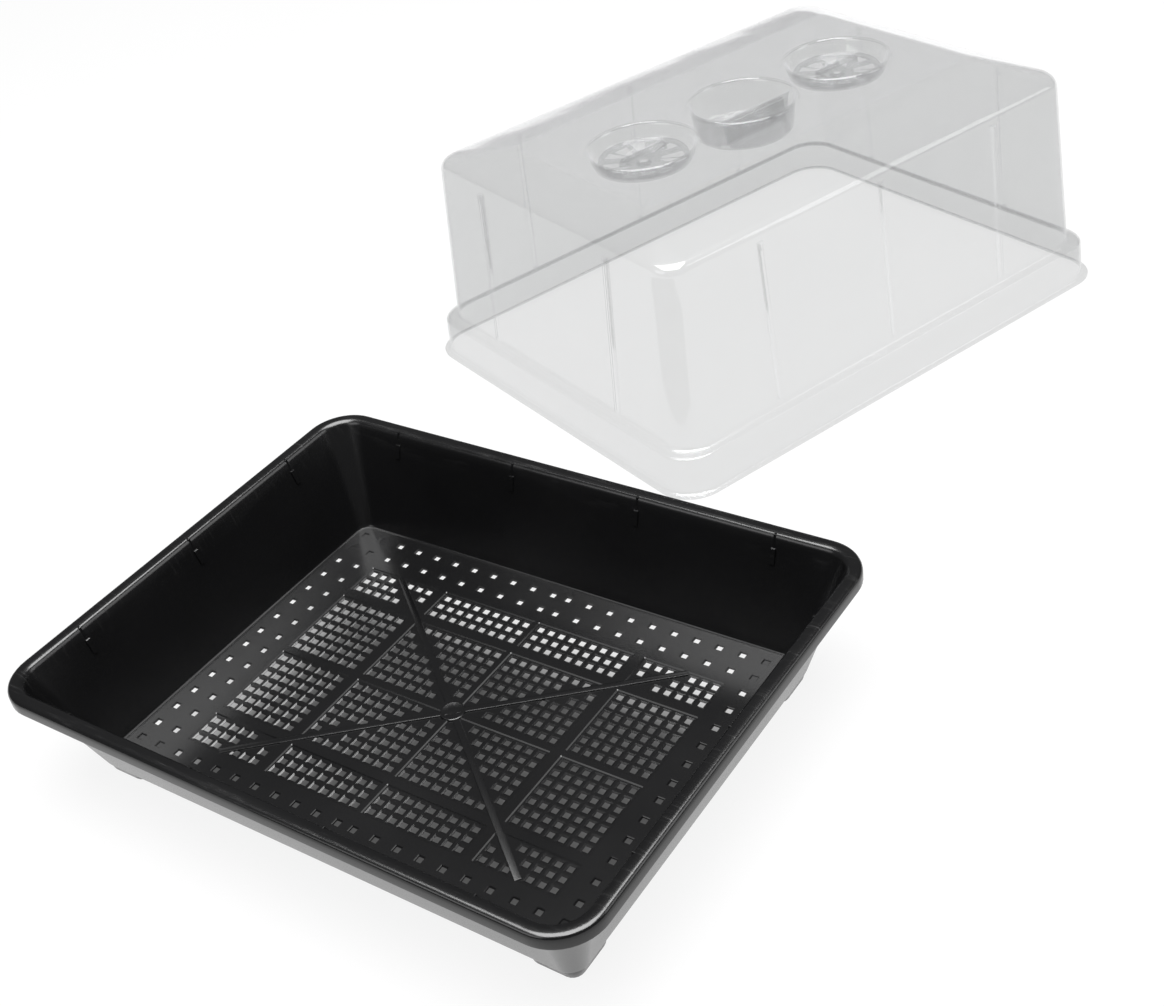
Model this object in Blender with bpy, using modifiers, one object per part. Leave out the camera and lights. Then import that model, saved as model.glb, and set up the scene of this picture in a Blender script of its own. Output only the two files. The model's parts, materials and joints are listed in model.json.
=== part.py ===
"""Humidity dome tray: a perforated seed tray, the clear dome that covers it, and the two vent discs that turn in the dome's top.

Lengths are in metres and +Z is up. The tray stands on its feet and the dome stands on its lip behind it, both on Z = 0.
The tray's long side runs along X. The dome's long side runs along Y but for a turn of 20 degrees, as it is set down by hand.
The origin is under the middle of the pair.
"""

import math

import bmesh
import bpy
from mathutils import Matrix, Vector

# Tray
trayCentre = Vector((0.03496, -0.27516, 0.0))
trayFloorTop = 0.007
trayFloorLength = 0.325
trayFloorWidth = 0.235
trayWall = 0.0017
trayRimTop = 0.074
trayRimLength = 0.388
trayRimWidth = 0.298
trayFlange = 0.009
trayLip = 0.008
trayFloorThickness = 0.002
footSide = 0.032
footTaper = 0.003
cornerSteps = 6

# Tray floor
holePitch = 0.0074
drainHole = 0.0046
panelRecess = 0.0006
panelHoles = ((-13.8, 7), (-4.75, 9), (4.75, 9), (13.8, 7))
panelRows = ((-9.8, 3), (-3.85, 7), (3.85, 7), (9.8, 3))
drainAcross = [0.75 + 2.03 * step for step in range(11)]
drainAlong = [0.9 + 2.03 * step for step in range(6)]
drainRows = (12.85, 14.75)
hubRadius = 0.0075
hubHeight = 0.0016

# Dome
domeCentre = Vector((-0.02104, 0.18934, 0.0))
domeTurn = math.radians(-20.0)
domeWidth = 0.312
domeLength = 0.402
domeSheet = 0.0012
plateauTop = 0.168
plateauWidth = 0.154
plateauLength = 0.293
ribWidth = 0.005
ribProud = 0.0009
ribBottom = 0.036
ribTop = 0.140
ribsOnLongSide = (-0.105, 0.0, 0.105)
ribsOnShortSide = (-0.072, 0.072)

# Wells in the dome's top
wellPitch = 0.090
wellHole = 0.0370
wellTurns = 40
ventFloor = 0.158
handleFloor = 0.147
webTop = 0.1662
webOffset = 0.013
webLength = 0.0716
webWidthTop = 0.0060
webWidthFoot = 0.0100

# Vent discs
gap = 0.0003
ventSlots = 6
slotInner = 0.012
slotOuter = 0.028
slotInnerWidth = 0.005
slotOuterWidth = 0.012
discRadius = 0.0314
discThickness = 0.0016
pinHole = 0.0040
pinRadius = 0.0036
barbRadius = 0.0052
gripLength = 0.040
gripWidth = 0.0050
gripHeight = 0.0058

for old in list(bpy.data.objects):
    bpy.data.objects.remove(old, do_unlink=True)

partsGroup = bpy.data.collections.new("humidity dome tray")
cuttersGroup = bpy.data.collections.new("cutters")
bpy.context.scene.collection.children.link(partsGroup)
bpy.context.scene.collection.children.link(cuttersGroup)


domePlace = bpy.data.objects.new("dome place", None)
partsGroup.objects.link(domePlace)
domePlace.location = domeCentre
domePlace.rotation_euler.z = domeTurn


def putOnDome(thing, along=0.0, height=0.0):
    """Fixes a piece or a cutter to the dome's place, so far along its long side and so high."""
    thing.parent = domePlace
    thing.location = (0.0, along, height)


def makeMaterial(name, colour, roughness, metallic=0.0, alpha=1.0):
    material = bpy.data.materials.new(name)
    material.use_nodes = True
    shader = material.node_tree.nodes["Principled BSDF"]
    shader.inputs["Base Color"].default_value = (*colour, 1.0)
    shader.inputs["Roughness"].default_value = roughness
    shader.inputs["Metallic"].default_value = metallic
    shader.inputs["Alpha"].default_value = alpha
    return material


def addObject(name, shape, material=None, group=None):
    mesh = bpy.data.meshes.new(name)
    shape.to_mesh(mesh)
    shape.free()
    made = bpy.data.objects.new(name, mesh)
    (group or partsGroup).objects.link(made)
    if material:
        mesh.materials.append(material)
    return made


def addCutter(name, shape):
    cutter = addObject(name, shape, group=cuttersGroup)
    cutter.hide_render = True
    cutter.display_type = "WIRE"
    return cutter


def addBoolean(target, other, operation):
    step = target.modifiers.new(other.name, "BOOLEAN")
    step.object = other
    step.operation = operation
    step.solver = "EXACT"


def ringMove(point, old, new):
    """Moves a point of one rounded rectangle to the same place on another: each is (width x, width y, z, corner radius)."""
    signX = math.copysign(1.0, point.x)
    signY = math.copysign(1.0, point.y)
    corner = Vector((signX * (old[0] / 2 - old[3]), signY * (old[1] / 2 - old[3])))
    outward = (point.xy - corner).normalized()
    newCorner = Vector((signX * (new[0] / 2 - new[3]), signY * (new[1] / 2 - new[3])))
    flat = newCorner + outward * new[3]
    return Vector((flat.x, flat.y, new[2]))


def loftRings(rings):
    """A closed solid through rounded rectangles, capped at the first and the last."""
    shape = bmesh.new()
    first = rings[0]
    bmesh.ops.create_grid(shape, x_segments=1, y_segments=1, size=0.5)
    for vertex in shape.verts:
        vertex.co = Vector((vertex.co.x * first[0], vertex.co.y * first[1], first[2]))
    bmesh.ops.bevel(
        shape,
        geom=list(shape.verts),
        offset=first[3],
        offset_type="OFFSET",
        segments=cornerSteps,
        profile=0.5,
        affect="VERTICES",
    )
    face = list(shape.faces)[0]
    bmesh.ops.delete(shape, geom=[face], context="FACES_ONLY")
    startCap = bmesh.ops.contextual_create(shape, geom=list(shape.edges))["faces"]
    edges = [edge for edge in startCap[0].edges]
    for old, new in zip(rings, rings[1:]):
        made = bmesh.ops.extrude_edge_only(shape, edges=edges)["geom"]
        for vertex in [item for item in made if isinstance(item, bmesh.types.BMVert)]:
            vertex.co = ringMove(vertex.co, old, new)
        edges = [item for item in made if isinstance(item, bmesh.types.BMEdge) and item.is_boundary]
    bmesh.ops.contextual_create(shape, geom=edges)
    bmesh.ops.recalc_face_normals(shape, faces=list(shape.faces))
    return shape


def turned(name, profile, turns, group=None, material=None):
    """A turned solid from (radius, height) points that start and end on the axis."""
    shape = bmesh.new()
    points = [shape.verts.new((radius, 0.0, height)) for radius, height in profile]
    for first, second in zip(points, points[1:]):
        shape.edges.new((first, second))
    made = addObject(name, shape, material, group)
    spin = made.modifiers.new("turn", "SCREW")
    spin.axis = "Z"
    spin.angle = 2 * math.pi
    spin.steps = turns
    spin.render_steps = turns
    spin.use_merge_vertices = True
    spin.merge_threshold = 0.00002
    spin.use_smooth_shade = True
    return made


def addBox(shape, size, centre, turn=None):
    placed = Matrix.Translation(centre) @ (turn or Matrix.Identity(4)) @ Matrix.Diagonal((*size, 1.0))
    return bmesh.ops.create_cube(shape, size=1.0, matrix=placed)["verts"]


def smoothRounds(target, angle=math.radians(35)):
    target.data.shade_smooth()
    target.data.set_sharp_from_angle(angle=angle)


blackPlastic = makeMaterial("black polypropylene", (0.012, 0.012, 0.013), 0.42)
clearPlastic = makeMaterial("clear dome sheet", (0.86, 0.88, 0.88), 0.08, alpha=0.35)
ventPlasticLeft = makeMaterial("clear vent disc left", (0.86, 0.88, 0.88), 0.12, alpha=0.45)
ventPlasticRight = makeMaterial("clear vent disc right", (0.86, 0.88, 0.88), 0.12, alpha=0.45)


# Tray shell: up the inside of the wall, over the rolled rim, and down the outside.
innerLength = trayRimLength - 2 * trayFlange
innerWidth = trayRimWidth - 2 * trayFlange
base = trayFloorTop - trayFloorThickness
wallOut = 2 * trayWall


def trayRing(grow, height, radius, fromRim=True):
    if fromRim:
        return (trayRimLength + grow, trayRimWidth + grow, height, radius)
    return (trayFloorLength + grow, trayFloorWidth + grow, height, radius)


rimFlange = 2 * trayFlange
trayRings = [
    trayRing(0.0, trayFloorTop, 0.008, fromRim=False),
    trayRing(0.0024, trayFloorTop + 0.0009, 0.009, fromRim=False),
    trayRing(0.0036, trayFloorTop + 0.0028, 0.0095, fromRim=False),
    trayRing(-rimFlange - 0.0008, trayRimTop - 0.0028, 0.0172),
    trayRing(-rimFlange, trayRimTop - 0.0009, 0.0176),
    trayRing(-rimFlange + 0.0022, trayRimTop, 0.0186),
    trayRing(-0.0036, trayRimTop, 0.0252),
    trayRing(-0.0012, trayRimTop - 0.0007, 0.0264),
    trayRing(0.0, trayRimTop - 0.0026, 0.027),
    trayRing(0.0, trayRimTop - trayLip, 0.027),
    trayRing(-0.0032, trayRimTop - trayLip, 0.0254),
    trayRing(-0.0032, trayRimTop - 0.0019, 0.0254),
    trayRing(-rimFlange + wallOut, trayRimTop - 0.0019, 0.0194),
    trayRing(-rimFlange + wallOut - 0.0010, trayRimTop - 0.0040, 0.0190),
    trayRing(0.0036 + wallOut, trayFloorTop + 0.0028, 0.0112, fromRim=False),
    trayRing(0.0022 + wallOut, base + 0.0012, 0.0105, fromRim=False),
    trayRing(-0.0004, base, 0.008, fromRim=False),
]
tray = addObject("tray", loftRings(trayRings), blackPlastic)
tray.location = trayCentre

# Four feet under the tray's corners, each a short tapered block.
feet = bmesh.new()
footX = trayFloorLength / 2 - footSide / 2 + 0.001
footY = trayFloorWidth / 2 - footSide / 2 + 0.001
for signX in (-1, 1):
    for signY in (-1, 1):
        height = base + 0.0008
        corners = addBox(feet, (footSide, footSide, height), (signX * footX, signY * footY, height / 2))
        for vertex in corners:
            if vertex.co.z < height / 2:
                vertex.co.x -= math.copysign(footTaper / 2, vertex.co.x - signX * footX)
                vertex.co.y -= math.copysign(footTaper / 2, vertex.co.y - signY * footY)
        upright = {
            edge
            for vertex in corners
            for edge in vertex.link_edges
            if abs(edge.verts[0].co.z - edge.verts[1].co.z) > height / 2
        }
        bmesh.ops.bevel(feet, geom=list(upright), offset=0.007, segments=3, profile=0.5, affect="EDGES")
feetTool = addCutter("tray feet", feet)
feetTool.location = trayCentre
addBoolean(tray, feetTool, "UNION")

# The floor's fine-mesh fields sit a little lower than the ribs between them.
fields = bmesh.new()
for acrossPlace, acrossCount in panelHoles:
    for alongPlace, alongCount in panelRows:
        size = ((acrossCount + 0.1) * holePitch, (alongCount + 0.1) * holePitch, 2 * panelRecess)
        addBox(fields, size, (acrossPlace * holePitch, alongPlace * holePitch, trayFloorTop))
fieldsTool = addCutter("tray mesh fields", fields)
fieldsTool.location = trayCentre
addBoolean(tray, fieldsTool, "DIFFERENCE")

# The hub where the floor's diagonal ribs meet.
hub = bmesh.new()
bmesh.ops.create_cone(
    hub,
    cap_ends=True,
    segments=24,
    radius1=hubRadius,
    radius2=hubRadius * 0.8,
    depth=hubHeight,
    matrix=Matrix.Translation((0.0, 0.0, trayFloorTop - 0.0010 + hubHeight / 2)),
)
hubTool = addCutter("tray hub", hub)
hubTool.location = trayCentre
addBoolean(tray, hubTool, "UNION")

# Square drain holes, two deep along each side of the floor.
drains = bmesh.new()
places = set()
for acrossStep in drainAcross:
    for row in drainRows:
        places.add((acrossStep, row))
for alongStep in drainAlong:
    for column in drainAcross[-2:]:
        places.add((column, alongStep))
for acrossStep, alongStep in sorted(places):
    for signX in (-1, 1):
        for signY in (-1, 1):
            centre = (signX * acrossStep * holePitch, signY * alongStep * holePitch, trayFloorTop)
            addBox(drains, (drainHole, drainHole, 0.008), centre)
drainsTool = addCutter("tray drain holes", drains)
drainsTool.location = trayCentre
addBoolean(tray, drainsTool, "DIFFERENCE")


# Dome shell: down the outside from the plateau to the lip, and up the inside.
def domeRing(width, height, radius):
    """A ring as long as the dome's own proportion makes it, from its width at this height."""
    return (width, width + domeLength - domeWidth, height, radius)


def plateauRing(grow, height, radius):
    return (plateauWidth + grow, plateauLength + grow, height, radius)


sheet = 2 * domeSheet
domeRings = [
    plateauRing(0.0, plateauTop, 0.006),
    plateauRing(0.003, plateauTop - 0.0005, 0.007),
    domeRing(0.260, 0.1560, 0.016),
    domeRing(0.266, 0.1540, 0.017),
    domeRing(0.2695, 0.1505, 0.018),
    domeRing(0.271, 0.1460, 0.0185),
    domeRing(0.287, 0.0315, 0.022),
    domeRing(0.2886, 0.0290, 0.022),
    domeRing(0.291, 0.0280, 0.0225),
    domeRing(0.300, 0.0280, 0.024),
    domeRing(0.302, 0.0268, 0.0244),
    domeRing(0.3028, 0.0245, 0.0246),
    domeRing(0.3045, 0.0050, 0.025),
    domeRing(0.3065, 0.0025, 0.0255),
    domeRing(domeWidth, 0.0014, 0.026),
    domeRing(domeWidth, 0.0, 0.026),
    domeRing(0.305, 0.0, 0.0245),
    domeRing(0.3021, 0.0045, 0.0238),
    domeRing(0.3004, 0.0240, 0.0234),
    domeRing(0.2996, 0.0260, 0.0232),
    domeRing(0.298, 0.0268, 0.023),
    domeRing(0.289, 0.0268, 0.0215),
    domeRing(0.2862, 0.0284, 0.0208),
    domeRing(0.287 - sheet, 0.0315, 0.0208),
    domeRing(0.271 - sheet, 0.1456, 0.0173),
    domeRing(0.2695 - sheet, 0.1498, 0.0168),
    domeRing(0.2642, 0.1528, 0.016),
    domeRing(0.259, 0.1547, 0.015),
    plateauRing(0.002, plateauTop - 0.0016, 0.006),
    plateauRing(-0.0016, plateauTop - domeSheet, 0.005),
]
dome = addObject("dome", loftRings(domeRings), clearPlastic)
putOnDome(dome)

# Stiffening ribs pressed out of the dome's walls, leaning in with them.
wallRise = 0.1460 - 0.0315
wallLean = math.atan2((0.287 - 0.271) / 2, wallRise)
ribMiddle = (ribBottom + ribTop) / 2
wallShare = (ribMiddle - 0.0315) / wallRise
ribInset = (0.287 - 0.271) / 2 * wallShare
ribs = bmesh.new()
ribDeep = 0.0008
ribSize = (ribProud + ribDeep, ribWidth, ribTop - ribBottom)
faceX = 0.287 / 2 - ribInset + (ribProud - ribDeep) / 2
faceY = (0.287 + domeLength - domeWidth) / 2 - ribInset + (ribProud - ribDeep) / 2
for side in (-1, 1):
    lean = Matrix.Rotation(-side * wallLean, 4, "Y")
    for place in ribsOnLongSide:
        addBox(ribs, ribSize, (side * faceX, place, ribMiddle), lean)
    lean = Matrix.Rotation(side * wallLean, 4, "X")
    for place in ribsOnShortSide:
        addBox(ribs, (ribSize[1], ribSize[0], ribSize[2]), (place, side * faceY, ribMiddle), lean)
ribsTool = addCutter("dome ribs", ribs)
putOnDome(ribsTool)
addBoolean(dome, ribsTool, "UNION")

# Openings in the plateau for the three wells.
openings = bmesh.new()
for step in (-1, 0, 1):
    bmesh.ops.create_cone(
        openings,
        cap_ends=True,
        segments=wellTurns,
        radius1=wellHole,
        radius2=wellHole,
        depth=0.006,
        matrix=Matrix.Translation((0.0, step * wellPitch, plateauTop - domeSheet / 2)),
    )
openingsTool = addCutter("dome well openings", openings)
putOnDome(openingsTool)
addBoolean(dome, openingsTool, "DIFFERENCE")


def wellProfile(floor, floorRadius):
    """A round well with a raised bead at its mouth, overlapping the plateau sheet."""
    top = plateauTop
    return [
        (0.0, floor),
        (floorRadius - 0.0016, floor),
        (floorRadius, floor + 0.0014),
        (0.0360, top - 0.0010),
        (0.0369, top + 0.0010),
        (0.0382, top + 0.0016),
        (0.0395, top + 0.0010),
        (0.0401, top - 0.0006),
        (0.0376, top - 0.0008),
        (floorRadius + 0.0013, floor + 0.0008),
        (floorRadius - 0.0010, floor - domeSheet),
        (0.0, floor - domeSheet),
    ]


def radialSlots(turn):
    """Wedge-shaped slots around the axis, turned from the X axis by this angle."""
    shape = bmesh.new()
    middle = (slotInner + slotOuter) / 2
    for step in range(ventSlots):
        corners = addBox(shape, (slotOuter - slotInner, 1.0, 0.02), (middle, 0.0, 0.0))
        for vertex in corners:
            width = slotOuterWidth if vertex.co.x > middle else slotInnerWidth
            vertex.co.y = math.copysign(width / 2, vertex.co.y)
        angle = turn + step * 2 * math.pi / ventSlots
        bmesh.ops.rotate(shape, verts=corners, cent=(0.0, 0.0, 0.0), matrix=Matrix.Rotation(angle, 3, "Z"))
    return shape


# The two outer wells have slots and a pin hole in their floors.
for label, step in (("left", -1), ("right", 1)):
    well = turned("vent well " + label, wellProfile(ventFloor, 0.0338), wellTurns, cuttersGroup)
    well.hide_render = True
    well.display_type = "WIRE"
    putOnDome(well, step * wellPitch)
    slots = addCutter("vent well slots " + label, radialSlots(0.0))
    putOnDome(slots, step * wellPitch, ventFloor)
    addBoolean(well, slots, "DIFFERENCE")
    hole = bmesh.new()
    bmesh.ops.create_cone(hole, cap_ends=True, segments=24, radius1=pinHole, radius2=pinHole, depth=0.02)
    holeTool = addCutter("vent well pin hole " + label, hole)
    putOnDome(holeTool, step * wellPitch, ventFloor)
    addBoolean(well, holeTool, "DIFFERENCE")
    addBoolean(dome, well, "UNION")

# The middle well is deeper, with a folded web across it, off its middle, to lift the dome by.
handleWell = turned("handle well", wellProfile(handleFloor, 0.0335), wellTurns, cuttersGroup)
handleWell.hide_render = True
handleWell.display_type = "WIRE"
putOnDome(handleWell)


def webShape(bottom, top, widthFoot, widthTop, length):
    shape = bmesh.new()
    for vertex in addBox(shape, (widthFoot, length, top - bottom), (0.0, 0.0, (top + bottom) / 2)):
        if vertex.co.z > (top + bottom) / 2:
            vertex.co.x = math.copysign(widthTop / 2, vertex.co.x)
        vertex.co.x += webOffset
    return shape


web = addCutter("handle web", webShape(handleFloor - 0.0006, webTop, webWidthFoot, webWidthTop, webLength))
putOnDome(web)
# The web ends inside the well's own wall, so a cone between the wall's two faces trims it.
webEnds = bmesh.new()
bmesh.ops.create_cone(
    webEnds,
    cap_ends=True,
    segments=wellTurns,
    radius1=0.0340,
    radius2=0.0369,
    depth=webTop - handleFloor + 0.002,
    matrix=Matrix.Translation((0.0, 0.0, (webTop + handleFloor) / 2)),
)
webEndsTool = addCutter("handle web ends", webEnds)
putOnDome(webEndsTool)
addBoolean(web, webEndsTool, "INTERSECT")
webHollow = addCutter(
    "handle web hollow",
    webShape(handleFloor - 0.004, webTop - domeSheet, webWidthFoot - sheet + 0.0009, webWidthTop - sheet, 0.050),
)
putOnDome(webHollow)
addBoolean(handleWell, web, "UNION")
addBoolean(handleWell, webHollow, "DIFFERENCE")
addBoolean(dome, handleWell, "UNION")


# Vent discs, each turning on a pin that snaps through its well's floor.
def ventProfile():
    bottom = gap
    top = gap + discThickness
    under = -domeSheet - gap
    return [
        (0.0, top + 0.0004),
        (0.0060, top + 0.0004),
        (0.0068, top),
        (discRadius - 0.0018, top),
        (discRadius - 0.0008, top + 0.0010),
        (discRadius - 0.0002, top + 0.0010),
        (discRadius, top + 0.0006),
        (discRadius, bottom),
        (pinRadius, bottom),
        (pinRadius, under),
        (barbRadius, under - 0.0002),
        (barbRadius, under - 0.0010),
        (pinRadius - 0.0006, under - 0.0034),
        (0.0, under - 0.0034),
    ]


for label, step, material in (("left", -1, ventPlasticLeft), ("right", 1, ventPlasticRight)):
    disc = turned("vent_disc_" + label, ventProfile(), wellTurns, partsGroup, material)
    putOnDome(disc, step * wellPitch, ventFloor)
    slots = addCutter("vent disc slots " + label, radialSlots(math.pi / ventSlots))
    putOnDome(slots, step * wellPitch, ventFloor)
    addBoolean(disc, slots, "DIFFERENCE")
    grip = bmesh.new()
    foot = gap + discThickness - 0.0006
    corners = addBox(grip, (gripWidth, gripLength, gripHeight), (0.0, 0.0, foot + gripHeight / 2))
    for vertex in corners:
        if vertex.co.z > foot + gripHeight / 2:
            vertex.co.x *= 0.7
            vertex.co.y *= 0.9
    edges = [edge for edge in grip.edges if min(v.co.z for v in edge.verts) > foot + gripHeight / 2]
    bmesh.ops.bevel(grip, geom=edges, offset=0.0008, segments=2, profile=0.5, affect="EDGES")
    gripTool = addCutter("vent disc grip " + label, grip)
    putOnDome(gripTool, step * wellPitch, ventFloor)
    addBoolean(disc, gripTool, "UNION")

smoothRounds(tray)
smoothRounds(dome)
bpy.context.view_layer.update()
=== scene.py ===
import json
import math

import bmesh
import bpy
from mathutils import Matrix, Vector


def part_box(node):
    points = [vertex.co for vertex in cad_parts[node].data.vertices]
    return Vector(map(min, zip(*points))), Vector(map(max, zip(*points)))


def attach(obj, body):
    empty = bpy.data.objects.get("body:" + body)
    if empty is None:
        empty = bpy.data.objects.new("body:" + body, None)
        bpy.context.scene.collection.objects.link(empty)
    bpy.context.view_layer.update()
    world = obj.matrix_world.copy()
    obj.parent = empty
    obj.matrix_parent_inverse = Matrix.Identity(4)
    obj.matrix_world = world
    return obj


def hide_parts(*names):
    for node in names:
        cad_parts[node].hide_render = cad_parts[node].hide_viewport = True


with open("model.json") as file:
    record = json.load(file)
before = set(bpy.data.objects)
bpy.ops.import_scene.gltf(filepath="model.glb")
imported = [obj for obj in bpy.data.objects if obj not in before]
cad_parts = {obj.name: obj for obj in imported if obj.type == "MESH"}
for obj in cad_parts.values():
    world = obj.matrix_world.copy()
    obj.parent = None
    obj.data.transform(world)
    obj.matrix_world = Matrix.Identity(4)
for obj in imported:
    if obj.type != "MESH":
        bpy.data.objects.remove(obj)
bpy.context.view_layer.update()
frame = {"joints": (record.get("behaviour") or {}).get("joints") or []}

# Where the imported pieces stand: the tray's box, and the dome's two vent pins.
trayLow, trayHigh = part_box("tray")
trayPlace = Vector(((trayLow.x + trayHigh.x) / 2, (trayLow.y + trayHigh.y) / 2, 0.0))
pins = {joint["name"]: Vector(joint["pos_m"]) for joint in frame["joints"] if joint["type"] == "hinge"}
leftPin, rightPin = pins["vent_left_turn"], pins["vent_right_turn"]
domePlace = (leftPin + rightPin) / 2
domePlace.z = 0.0
domeTurn = math.atan2(leftPin.x - rightPin.x, rightPin.y - leftPin.y)
wellPitch = (rightPin - leftPin).length / 2
print(
    "frame read: tray at", tuple(round(value, 4) for value in trayPlace),
    "dome turned", round(math.degrees(domeTurn), 1),
)

# Camera, floor and light

studio = {
    "azimuth": 39.42,
    "elevation": 35.64,
    "roll": -10.04,
    "lens": 50.66,
    "aim": (0.0321, -0.1268, 0.0500),
    "distance": 0.991,
    "floorSide": 6.0,
    "floorColour": (0.055, 0.055, 0.055, 1.0),
    "floorColourLow": (0.050, 0.050, 0.050, 1.0),
    "paintedShadeUnderTray": (0.085, 0.085, 0.085, 1.0),  # painted shade: the floor's glow left under the tray
    "floorGlow": (0.88, 0.88, 0.88, 1.0),  # glow of the open floor
    "backdrop": (0.92, 0.92, 0.92, 1.0),
    "skyLow": (0.12, 0.12, 0.122, 1.0),
    "skyHigh": (1.0, 1.0, 1.0, 1.0),
    "skyStrength": 1.0,
}


def lookFrom(settings):
    azimuth, elevation, roll = (math.radians(settings[name]) for name in ("azimuth", "elevation", "roll"))
    back = Vector((
        math.sin(azimuth) * math.cos(elevation),
        -math.cos(azimuth) * math.cos(elevation),
        math.sin(elevation),
    ))
    right = (-back).cross(Vector((0.0, 0.0, 1.0))).normalized()
    up = right.cross(-back)
    rolledRight = right * math.cos(roll) + up * math.sin(roll)
    rolledUp = up * math.cos(roll) - right * math.sin(roll)
    turn = Matrix((rolledRight, rolledUp, back)).transposed().to_4x4()
    return Matrix.Translation(Vector(settings["aim"]) + back * settings["distance"]) @ turn


cameraData = bpy.data.cameras.new("studio camera")
cameraData.lens = studio["lens"]
cameraData.sensor_width = 36.0
cameraData.clip_start = 0.02
cameraData.clip_end = 60.0
camera = bpy.data.objects.new("studio camera", cameraData)
bpy.context.scene.collection.objects.link(camera)
camera.matrix_world = lookFrom(studio)
bpy.context.scene.camera = camera
bpy.context.scene.view_settings.view_transform = "Standard"
bpy.context.scene.cycles.transparent_max_bounces = 40  # the clear sheet is met many times along one ray


def addAreaLight(name, place, target, size, power):
    data = bpy.data.lights.new(name, "AREA")
    data.shape = "RECTANGLE"
    data.size, data.size_y = size
    data.energy = power
    light = bpy.data.objects.new(name, data)
    bpy.context.scene.collection.objects.link(light)
    light.location = place
    light.rotation_euler = (Vector(target) - Vector(place)).to_track_quat("-Z", "Y").to_euler()
    return light


# name: where it stands, where it points, its size and its power
studioLights = {
    "overhead softbox": ((0.22, -0.28, 2.1), (0.0, 0.0, 0.0), (2.2, 2.0), 170.0),
    "side softbox": ((1.9, 1.0, 1.2), (0.0, 0.1, 0.1), (0.9, 1.3), 10.0),
    "front fill": ((-0.6, -2.2, 1.3), (0.0, 0.0, 0.05), (1.6, 1.0), 12.0),
}
for name, settings in studioLights.items():
    addAreaLight(name, *settings)


# Materials


class Wire:
    # one socket of a node tree, so that shader maths is written as sums and products
    def __init__(self, tree, socket=None):
        self.tree = tree
        self.socket = socket

    def add(self, kind, settings=None, inputs=None, output=0):
        node = self.tree.nodes.new(kind)
        for name, value in (settings or {}).items():
            if name == "stops":
                while len(node.color_ramp.elements) < len(value):
                    node.color_ramp.elements.new(0.5)
                for element, (place, level) in zip(node.color_ramp.elements, value):
                    element.position = place
                    element.color = (level, level, level, 1.0)
            else:
                setattr(node, name, value)
        for name, value in (inputs or {}).items():
            if isinstance(value, Wire):
                self.tree.links.new(value.socket, node.inputs[name])
            else:
                node.inputs[name].default_value = value
        return Wire(self.tree, node.outputs[output] if len(node.outputs) else None)

    def maths(self, operation, first, second=0.0):
        return self.add("ShaderNodeMath", {"operation": operation}, {0: first, 1: second})

    def __add__(self, other):
        return self.maths("ADD", self, other)

    def __sub__(self, other):
        return self.maths("SUBTRACT", self, other)

    def __rsub__(self, other):
        return self.maths("SUBTRACT", other, self)

    def __mul__(self, other):
        return self.maths("MULTIPLY", self, other)

    def __pow__(self, other):
        return self.maths("POWER", self, other)

    __radd__ = __add__
    __rmul__ = __mul__

    def noise(self, coordinates, scale, detail=3.0, roughness=0.55):
        return self.add(
            "ShaderNodeTexNoise",
            None,
            {"Vector": coordinates, "Scale": scale, "Detail": detail, "Roughness": roughness},
        )

    def ramp(self, value, stops):
        return self.add("ShaderNodeValToRGB", {"stops": stops}, {0: value})

    def blend(self, share, first, second):
        return self.add("ShaderNodeMix", {"data_type": "RGBA"}, {0: share, 6: first, 7: second}, 2)

    def stretched(self, coordinates, scale, turn=0.0):
        return self.add("ShaderNodeMapping", None, {0: coordinates, 2: (0.0, 0.0, turn), 3: scale})


def newMaterial(name):
    material = bpy.data.materials.new(name)
    material.use_nodes = True
    material.node_tree.nodes.clear()
    wire = Wire(material.node_tree)
    return material, wire, wire.add("ShaderNodeTexCoord", None, None, "Object")


trayFinish = {
    "darkest": (0.0012, 0.0012, 0.0013, 1.0),
    "palest": (0.0032, 0.0032, 0.0034, 1.0),
    "dust": (0.020, 0.020, 0.020, 1.0),
    "roughness": 0.12,
    "grainHeight": 0.000035,
    "ior": 1.49,
}


def trayPlastic():
    # moulded black polypropylene: fine grain, cloudy gloss, faint rubs near the rim
    material, wire, place = newMaterial("black polypropylene")
    cloud = wire.noise(place, 11.0, 4.0)
    grain = wire.noise(place, 1400.0, 2.0)
    rubs = wire.noise(wire.stretched(place, (30.0, 420.0, 60.0), 0.35), 1.0, 5.0, 0.65)
    height = wire.add("ShaderNodeSeparateXYZ", None, {0: place}, 2)
    nearRim = wire.ramp(height * 12.0, ((0.0, 0.0), (0.70, 0.05), (0.90, 1.0)))
    rubbed = wire.ramp(rubs, ((0.56, 0.0), (0.70, 1.0)))
    worn = rubbed * nearRim
    tone = wire.blend(cloud, trayFinish["darkest"], trayFinish["palest"])
    bump = wire.add(
        "ShaderNodeBump",
        None,
        {"Strength": 0.6, "Distance": trayFinish["grainHeight"], "Height": grain + worn * 0.6},
    )
    plastic = wire.add("ShaderNodeBsdfPrincipled", None, {
        "Base Color": wire.blend(worn * 0.22, tone, trayFinish["dust"]),
        "Roughness": trayFinish["roughness"] + cloud * 0.10 + grain * 0.06 + worn * 0.10,
        "Normal": bump,
        "IOR": trayFinish["ior"],
    })
    wire.add("ShaderNodeOutputMaterial", None, {"Surface": plastic})
    return material


domeFinish = {
    "passes": (0.874, 0.876, 0.876, 1.0),
    "gloss": (0.86, 0.86, 0.87, 1.0),
    "glossHigh": (0.96, 0.96, 0.97, 1.0),
    "solid": 0.030,
    "gleam": 0.90,
    "fold": 0.16,
    "roughness": 0.06,
    "waveHeight": 0.0012,
    "metallic": 0.76,
    "edgePower": 4.6,  # how closely the gleam keeps to edges and folds
    "plateauFrom": 0.160,
}


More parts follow.
